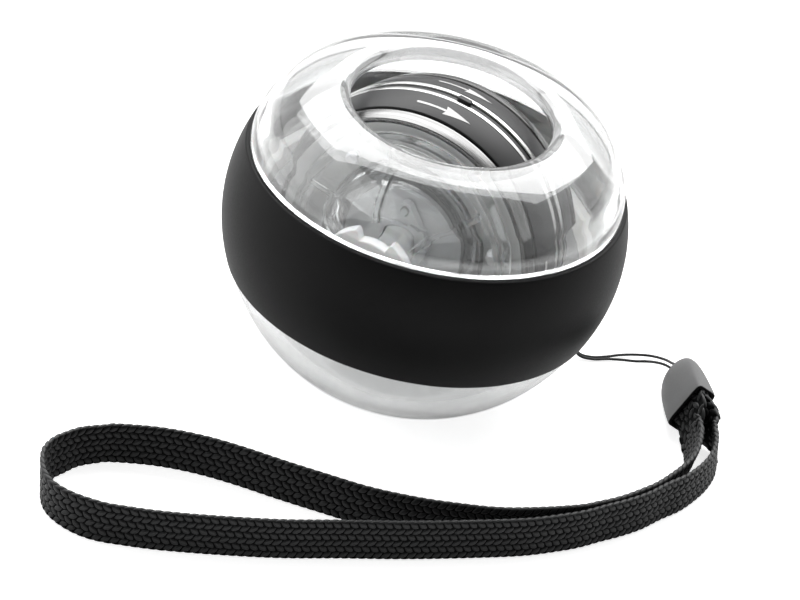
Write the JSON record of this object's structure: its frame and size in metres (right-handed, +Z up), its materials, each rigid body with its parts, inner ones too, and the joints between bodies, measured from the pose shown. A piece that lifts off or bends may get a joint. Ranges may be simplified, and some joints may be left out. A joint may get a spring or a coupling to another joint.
{
  "type": "gyroscopic wrist ball",
  "caption": "Gyroscopic hand exerciser: clear ball with a grip band, a metal flywheel with a wind-up start in a precessing ring, and a braided wrist strap.",
  "frame": {"origin": "middle of the ball's flat base, which stands on the floor", "axes": "+Z up along the ball's own axis, through the thumb opening; -Y towards the side that the picture shows, where the strap lies; +X to the strap's side"},
  "size_m": [0.1122, 0.1104, 0.0557],
  "materials": {
    "clear_shell": "clear moulded polycarbonate",
    "grip_rubber": "matte soft-touch",
    "turned_metal": "turned zinc alloy",
    "steel": "plain",
    "bronze": "sintered",
    "printed_band": "printed film",
    "natural_plastic": "moulded",
    "white_plastic": "moulded, slightly translucent",
    "cap_plastic": "moulded",
    "cord": "braided polyester"
  },
  "bodies": {
    "housing": {"upper_shell": "clear_shell", "lower_shell": "clear_shell", "grip_band": "grip_rubber", "string_loop": "cord", "string_knot": "cord", "lanyard_cap": "cap_plastic", "strap_loop": "cord"},
    "carrier": {"carrier_ring": "natural_plastic", "tip_bush_start": "bronze", "tip_bush_plain": "bronze", "start_disc": "white_plastic", "ratchet_wheel": "steel"},
    "rotor": {"axle": "steel", "flywheel_start_half": "turned_metal", "flywheel_plain_half": "turned_metal", "groove_ring": "grip_rubber", "groove_plug": "grip_rubber", "arrow_band_start": "printed_band", "arrow_band_plain": "printed_band", "plain_spacer": "natural_plastic", "start_cover": "clear_shell", "cover_screw_1": "steel", "cover_screw_2": "steel", "cover_screw_3": "steel", "mainspring": "steel", "spring_anchor": "steel", "retaining_clip": "steel"},
    "arbor": {"spring_arbor": "steel"},
    "pawl_one": {"pawl_1": "steel"},
    "pawl_two": {"pawl_2": "steel"}
  },
  "joints": [
    {"name": "precession", "type": "hinge", "parent": "housing", "child": "carrier", "pos_m": [0, 0, 0.0299], "axis": [0, 0, 1], "continuous": true},
    {"name": "rotor_spin", "type": "hinge", "parent": "carrier", "child": "rotor", "pos_m": [0, 0, 0.0299], "axis": [-0.3173, -0.9483, 0], "continuous": true},
    {"name": "spring_wind", "type": "hinge", "parent": "rotor", "child": "arbor", "pos_m": [-0.0019, -0.00569, 0.0299], "axis": [-0.3173, -0.9483, 0], "range_deg": [-1080, 0], "deforming": ["mainspring"]},
    {"name": "pawl_1_swing", "type": "hinge", "parent": "arbor", "child": "pawl_one", "pos_m": [-0.00346, -0.01034, 0.0383], "axis": [-0.3173, -0.9483, 0], "range_deg": [-14, 0]},
    {"name": "pawl_2_swing", "type": "hinge", "parent": "arbor", "child": "pawl_two", "pos_m": [-0.00346, -0.01034, 0.0215], "axis": [-0.3173, -0.9483, 0], "range_deg": [-14, 0]}
  ]
}
